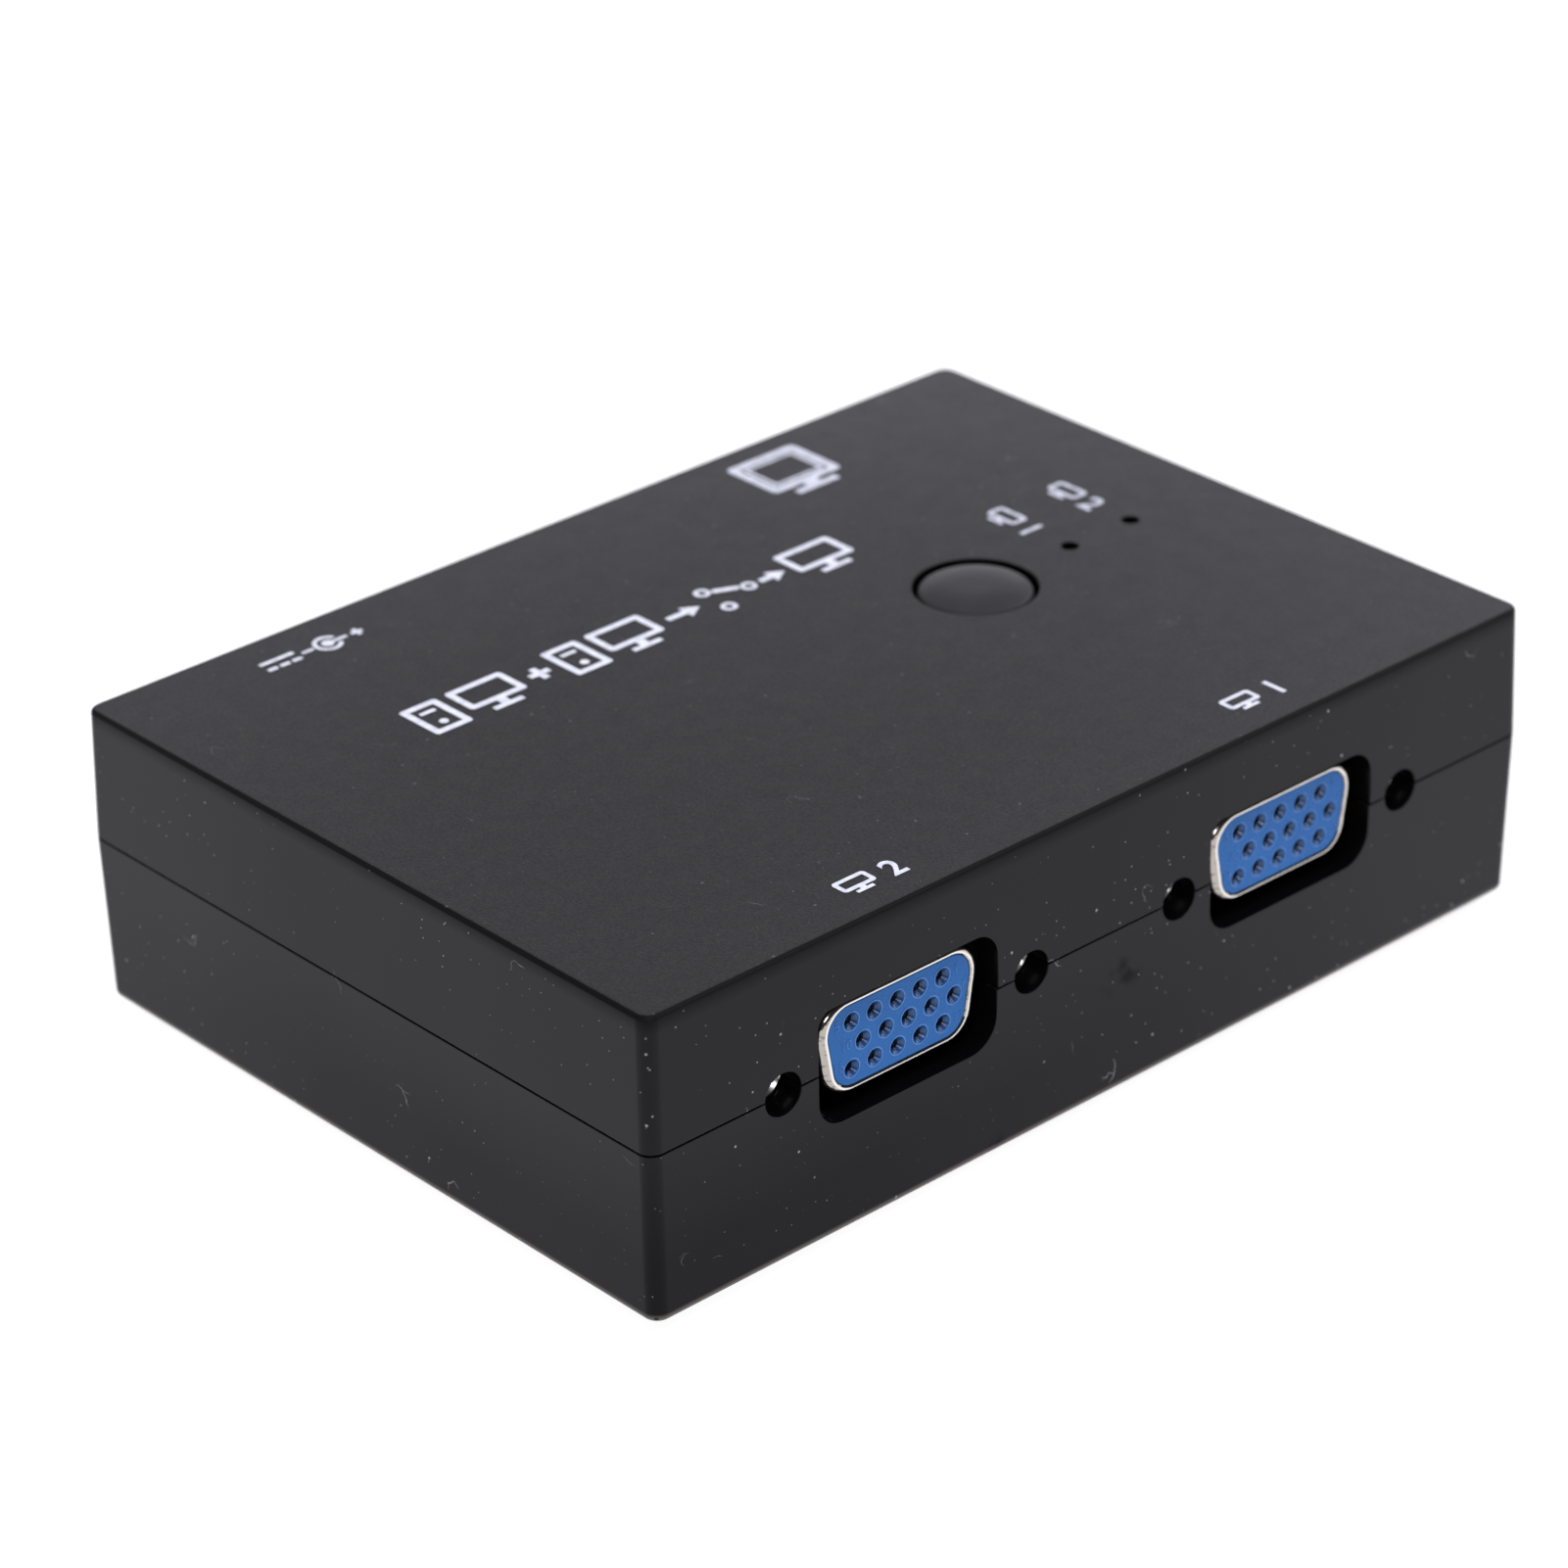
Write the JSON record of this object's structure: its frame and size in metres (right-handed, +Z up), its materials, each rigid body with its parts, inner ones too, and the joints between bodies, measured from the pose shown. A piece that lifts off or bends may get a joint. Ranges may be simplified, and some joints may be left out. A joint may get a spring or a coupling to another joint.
{
  "type": "video switch box",
  "caption": "Small black two-part box that switches one monitor between computers: high-density D sockets front and back, a push button, lamp holes and a power jack.",
  "frame": {"origin": "on the resting plane under the feet, below the middle of the case", "axes": "+Z up; +X along the front face to the right, seen from the front; the front face, with the two inputs, looks along -Y"},
  "size_m": [0.0928, 0.0664, 0.0269],
  "materials": {
    "case_black": "fine moulded texture on the top, satin sides",
    "button_black": "smooth satin moulding",
    "connector_blue": "smooth moulded insulator",
    "nickel": "nickel plating over drawn steel, lightly brushed",
    "steel": "zinc plated",
    "spring_metal": "bright spring brass",
    "board_green": "solder mask over glass-fibre board",
    "chip_black": "moulded epoxy",
    "lamp_clear": "water-clear epoxy",
    "can_sleeve": "shrink sleeve over an aluminium can",
    "rubber": "matte rubber",
    "print_white": "screen-printed ink"
  },
  "bodies": {
    "case": {"upper_shell": "case_black", "lower_shell": "case_black", "rubber_foot_1": "rubber", "rubber_foot_2": "rubber", "rubber_foot_3": "rubber", "rubber_foot_4": "rubber", "case_screw_1": "steel", "case_screw_2": "steel", "case_screw_3": "steel", "case_screw_4": "steel", "main_board": "board_green", "board_screw_1": "steel", "board_screw_2": "steel", "board_screw_3": "steel", "board_screw_4": "steel", "input_1_socket_shell": "nickel", "input_1_insulator": "connector_blue", "input_1_bracket": "steel", "input_1_jack_nut_left": "nickel", "input_1_jack_nut_right": "nickel", "input_2_socket_shell": "nickel", "input_2_insulator": "connector_blue", "input_2_bracket": "steel", "input_2_jack_nut_left": "nickel", "input_2_jack_nut_right": "nickel", "output_socket_shell": "nickel", "output_insulator": "connector_blue", "output_bracket": "steel", "output_jack_nut_left": "nickel", "output_jack_nut_right": "nickel", "lamp_1": "lamp_clear", "lamp_1_anode": "steel", "lamp_1_cathode": "steel", "lamp_2": "lamp_clear", "lamp_2_anode": "steel", "lamp_2_cathode": "steel", "mux_chip_1": "chip_black", "mux_chip_2": "chip_black", "control_chip": "chip_black", "regulator": "chip_black", "capacitor_1": "can_sleeve", "capacitor_2": "can_sleeve", "power_jack_body": "chip_black", "power_jack_pin": "nickel", "power_jack_spring": "spring_metal", "switch_housing": "chip_black", "switch_cover": "steel", "switch_dome": "spring_metal"},
    "button": {"button_cap": "button_black"},
    "plunger": {"switch_plunger": "chip_black"}
  },
  "joints": [
    {"name": "button_press", "type": "slide", "parent": "case", "child": "button", "axis": [0, 0, -1], "range_m": [0, 0.0005], "stiffness_N_per_m": 60, "springref_m": -0.001},
    {"name": "plunger_press", "type": "slide", "parent": "case", "child": "plunger", "axis": [0, 0, -1], "range_m": [0, 0.0005], "deforming": ["switch_dome"]}
  ],
  "couplings": [
    {"joint": "plunger_press", "follows": "button_press", "ratio": 1}
  ]
}
